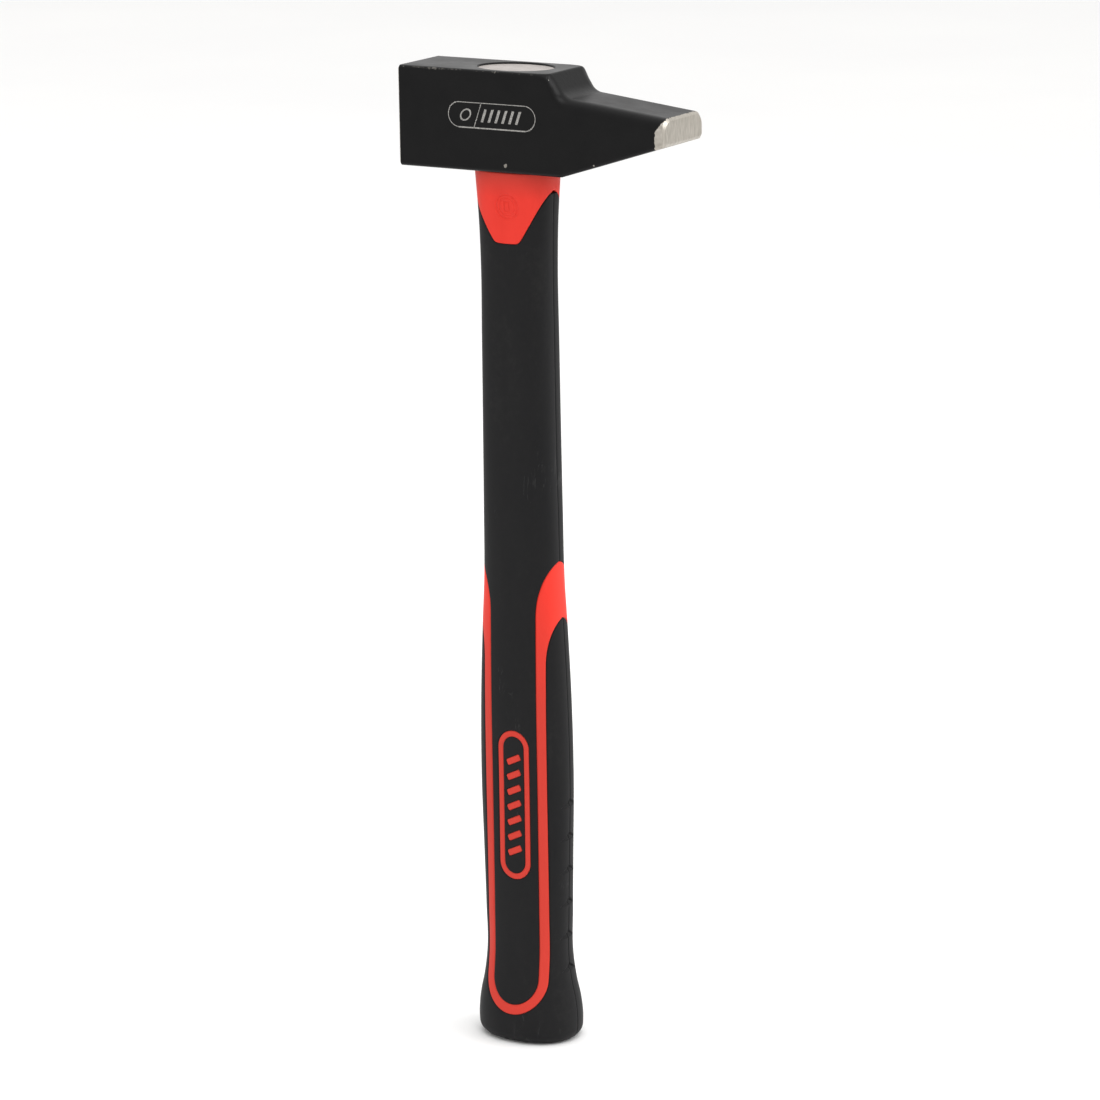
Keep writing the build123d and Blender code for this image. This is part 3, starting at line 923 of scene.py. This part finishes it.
ring = np.linspace(0, 2 * math.pi, 145)
levels = rows((HEAD_BOTTOM - 2, HEAD_BOTTOM - 1, 0.5), (HEAD_BOTTOM - 1, HEAD_BOTTOM, 1.0),
              (HEAD_BOTTOM, HEAD_BOTTOM + EYE_BREAK, 0.3),
              (HEAD_BOTTOM + EYE_BREAK, WAIST, 3.0), (WAIST, HEAD_TOP - EYE_BREAK, 3.0),
              (HEAD_TOP - EYE_BREAK, HEAD_TOP, 0.3), (HEAD_TOP, HEAD_TOP + 1, 1.0),
              (HEAD_TOP + 1, HEAD_TOP + 2, 0.5))
spots, faces = grid(ring, levels)
points, faces, _, _ = weld(eye_cutter(*spots.T), faces)
cutter_mesh = mesh_of("eye_cutter", points, faces)
cutter = in_scene("eye_cutter", cutter_mesh)
cut = head.modifiers.new("eye", "BOOLEAN")
cut.operation = "DIFFERENCE"
cut.solver = "EXACT"
cut.object = cutter
finished = bpy.data.meshes.new_from_object(head.evaluated_get(
    bpy.context.evaluated_depsgraph_get()))
head.modifiers.clear()
head.data = finished
bpy.data.objects.remove(cutter)
bpy.data.meshes.remove(cutter_mesh)
bpy.data.meshes.remove(mesh)

# How close each point is to an edge of the head, for the paint that is rubbed off there.
WEAR_REACH = 1.1
LESS_WORN = 0.3
SHARP_FROM = math.radians(24)
corners = np.empty(len(finished.vertices) * 3, dtype=np.float32)
finished.vertices.foreach_get("co", corners)
x, y, z = corners.reshape(-1, 3).T.astype(float) * 1000
to_top = np.hypot(HEAD_HALF - np.abs(y), bent_line(x, UPPER_LINE, UPPER_ROUND) - z)
to_low = np.hypot(HEAD_HALF - np.abs(y), z - bent_line(x, LOWER_LINE, LOWER_ROUND))
to_face = np.hypot(x - FACE_X, np.minimum.reduce([HEAD_HALF - np.abs(y), HEAD_TOP - z,
                                                  z - HEAD_BOTTOM]))
to_shoulder = np.hypot(x - UPPER_LINE[1][0], z - HEAD_TOP)
nearest = np.minimum.reduce([to_top, to_low + LESS_WORN, to_face, to_shoulder + LESS_WORN])
closeness = np.exp(-(nearest / WEAR_REACH) ** 2)
finished.attributes.new("edge", "FLOAT", "POINT").data.foreach_set(
    "value", closeness.astype(np.float32))
finished.polygons.foreach_set("use_smooth", np.ones(len(finished.polygons), dtype=bool))
finished.set_sharp_from_angle(angle=SHARP_FROM)
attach(head, "root")
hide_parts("head")


# ---- Resin in the eye -------------------------------------------------------------------
# The handle is potted in the eye with filled resin, poured from the top. It sets just below
# the top of the head, pale, slightly dished, and creeps up the steel at its rim.
RESIN_TOP = 324.3
RESIN_GAP = 0.03
RESIN_CREEP = 0.14
CREEP_REACH = 0.04        # share of the way from the middle to the rim
RESIN_DISH = 0.05
RIPPLE = 0.08


def resin_surface(angle, path):
    """Closed solid of resin. The path runs 0-1 outwards over the dished top, 1-2 down the
    eye, 2-3 inwards underneath, 3-4 up the end of the handle and 4-5 in over it."""
    share = np.clip(path, 0, 1)
    down = np.clip(path - 1, 0, 1)
    inward = np.clip(path - 2, 0, 1)
    up = np.clip(path - 3, 0, 1)
    over = np.clip(path - 4, 0, 1)
    rim = RESIN_CREEP * np.exp((share - 1) / CREEP_REACH) - RESIN_DISH * (1 - share ** 2)
    ripple = RIPPLE * share * (1 - share) * (np.sin(3 * angle + 1) + np.sin(5 * angle) * share)
    height = (RESIN_TOP + (rim + ripple) * (1 - down)
              - (RESIN_TOP - HEAD_BOTTOM - EYE_BREAK) * down)
    height = height + (TENON_TOP + FIT_GAP - HEAD_BOTTOM - EYE_BREAK) * up
    half_length, half_width = eye_size(height)
    tenon_length, tenon_width = TENON[0] + FIT_GAP, TENON[1] + FIT_GAP
    half_length = (half_length - RESIN_GAP) * (1 - inward) + tenon_length * inward
    half_width = (half_width - RESIN_GAP) * (1 - inward) + tenon_width * inward
    shrink = np.where(path < 1, share, 1.0) * (1 - over) + TINY
    x, y = section_point(angle, half_length * shrink, half_width * shrink, ELLIPSE)
    return np.stack([x, y, height], -1)


filled_resin = bpy.data.materials.new("filled_resin")
place, add, coat = shader_of(filled_resin)
cloud = add("ShaderNodeTexNoise", Vector=place, Scale=260.0, Detail=5.0, Roughness=0.65)
shade = add("ShaderNodeValToRGB", Fac=cloud.outputs["Fac"])
colour_steps(shade, [(0.3, (0.33, 0.305, 0.29)), (0.7, (0.42, 0.392, 0.375))])
sand = add("ShaderNodeTexNoise", Vector=place, Scale=2400.0, Detail=3.0)
relief = add("ShaderNodeBump", Strength=0.3, Distance=0.00006, Height=sand.outputs["Fac"])
coat(Base_Color=shade.outputs[0], Roughness=0.55, Normal=relief.outputs[0])

ring = np.linspace(0, 2 * math.pi, 145)
levels = rows((0, 0.9, 0.05), (0.9, 1.0, 0.01), (1.0, 1.05, 0.01), (1.05, 2.0, 0.08),
              (2.0, 3.0, 0.5), (3.0, 4.0, 0.1), (4.0, 5.0, 0.2))
spots, faces = grid(ring, levels)
points, faces, _, _ = weld(resin_surface(*spots.T), faces[:, ::-1])
resin_mesh = mesh_of("eye_resin_cap", points, faces)
resin_mesh.materials.append(filled_resin)
resin = in_scene("eye_resin_cap", resin_mesh)
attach(resin, "root")
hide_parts("eye_resin")


# ---- Studio -----------------------------------------------------------------------------
# The hammer stands on its butt on a wide, plain, pale floor in an even white surround, as in
# a light tent. Three weak softboxes, in front, on the right and overhead, add some shape.
FLOOR_RADIUS = 9000.0
FLOOR_SIDES = 96
turn = np.linspace(0, 2 * math.pi, FLOOR_SIDES + 1)[:-1]
rim = FLOOR_RADIUS * np.stack([np.cos(turn), np.sin(turn), 0 * turn], 1)
floor_mesh = mesh_of("floor", rim, np.arange(FLOOR_SIDES)[None])
floor = in_scene("floor", floor_mesh)
pale_floor = bpy.data.materials.new("pale_floor")
place, add, coat = shader_of(pale_floor)
cloud = add("ShaderNodeTexNoise", Vector=place, Scale=3.0, Detail=3.0)
shade = add("ShaderNodeValToRGB", Fac=cloud.outputs["Fac"])
colour_steps(shade, [(0.3, (0.86, 0.86, 0.86)), (0.7, (0.88, 0.88, 0.875))])
coat(Base_Color=shade.outputs[0], Roughness=0.85, Specular_IOR_Level=0.1)
floor_mesh.materials.append(pale_floor)

world = bpy.data.worlds.new("studio")
bpy.context.scene.world = world
world.use_nodes = True
surround = world.node_tree.nodes["Background"].inputs
surround["Color"].default_value = (1.0, 0.995, 0.99, 1)
surround["Strength"].default_value = 1.03

AZIMUTH = math.radians(31.0)          # of the camera, from the front towards the peen
ELEVATION = math.radians(13.74)
ROLL = math.radians(-0.85)
DISTANCE = 1.5
AIM = np.array([0, 0, 0.1625])
SHIFT = (0.00846, 0.00365)            # of the camera, to the right and up
LIGHT_AIM = np.array([0, 0, 0.16])


def viewer_axes(azimuth, elevation):
    """Directions to the right, up and back for someone who looks at the hammer from these
    angles."""
    back = np.array([math.sin(azimuth) * math.cos(elevation),
                     -math.cos(azimuth) * math.cos(elevation), math.sin(elevation)])
    right = np.array([math.cos(azimuth), math.sin(azimuth), 0.0])
    return right, np.cross(back, right), back


def placed(spot, right, up, back):
    """Matrix of an object at a spot, with its three axes given."""
    matrix = np.eye(4)
    matrix[:3] = np.stack([right, up, back, spot], 1)
    return Matrix(matrix.tolist())


def soft_light(name, turn, rise, distance, size, power, spread=180):
    """Square or oblong area light at an angle round the hammer, aimed at its middle. The
    turn is counted from the camera, to the right."""
    data = bpy.data.lights.new(name, "AREA")
    data.shape = "RECTANGLE"
    data.size, data.size_y = size
    data.energy = power
    data.spread = math.radians(spread)
    right, up, back = viewer_axes(AZIMUTH + math.radians(turn), math.radians(rise))
    lamp = in_scene(name, data)
    lamp.matrix_world = placed(back * distance + LIGHT_AIM, right, up, back)


soft_light("front_softbox", 10, 65, 2.3, (1.4, 1.4), 2.2, 60)
soft_light("right_softbox", 75, 35, 2.3, (1.4, 1.8), 6.0, 90)
soft_light("top_softbox", 180, 62, 2.9, (4.0, 4.0), 12.0)

view = bpy.data.cameras.new("camera")
view.lens = 150.0
view.sensor_width = 36.0
camera = in_scene("camera", view)
level, upward, back = viewer_axes(AZIMUTH, ELEVATION)
right = math.cos(ROLL) * level + math.sin(ROLL) * upward
up = -math.sin(ROLL) * level + math.cos(ROLL) * upward
spot = AIM + DISTANCE * back + SHIFT[0] * right + SHIFT[1] * up
camera.matrix_world = placed(spot, right, up, back)
bpy.context.scene.camera = camera
bpy.context.scene.view_settings.view_transform = "Standard"
bpy.context.scene.view_settings.gamma = 0.86
